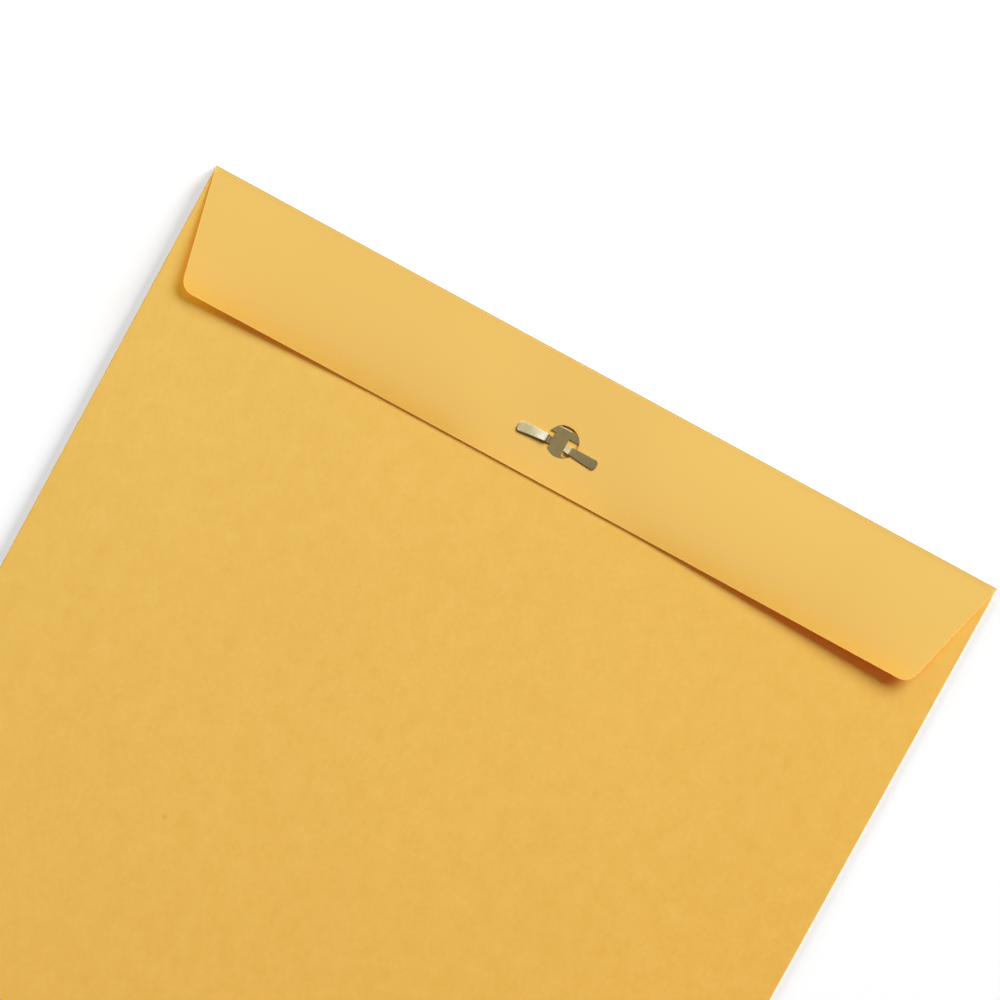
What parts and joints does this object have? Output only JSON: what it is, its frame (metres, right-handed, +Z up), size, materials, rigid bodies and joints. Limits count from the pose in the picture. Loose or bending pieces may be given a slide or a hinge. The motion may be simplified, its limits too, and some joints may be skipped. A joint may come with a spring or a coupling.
{
  "type": "clasp envelope",
  "caption": "Open-end kraft paper envelope with a tapered flap, closed by a metal clasp whose prongs fold out over the flap's hole.",
  "frame": {"origin": "centre of the footprint, on the surface that the closed envelope lies on", "axes": "+Y along the length, towards the top fold and flap; +X across the width, to the right as the flap side is read; +Z up, out of the flap side"},
  "size_m": [0.2286, 0.3048, 0.0038],
  "materials": {
    "kraft_paper": "uncoated matt kraft, golden brown",
    "tinned_steel": "bright tinned sheet, lightly brushed"
  },
  "bodies": {
    "root": {"envelope": "kraft_paper", "clasp": "tinned_steel"}
  },
  "joints": []
}
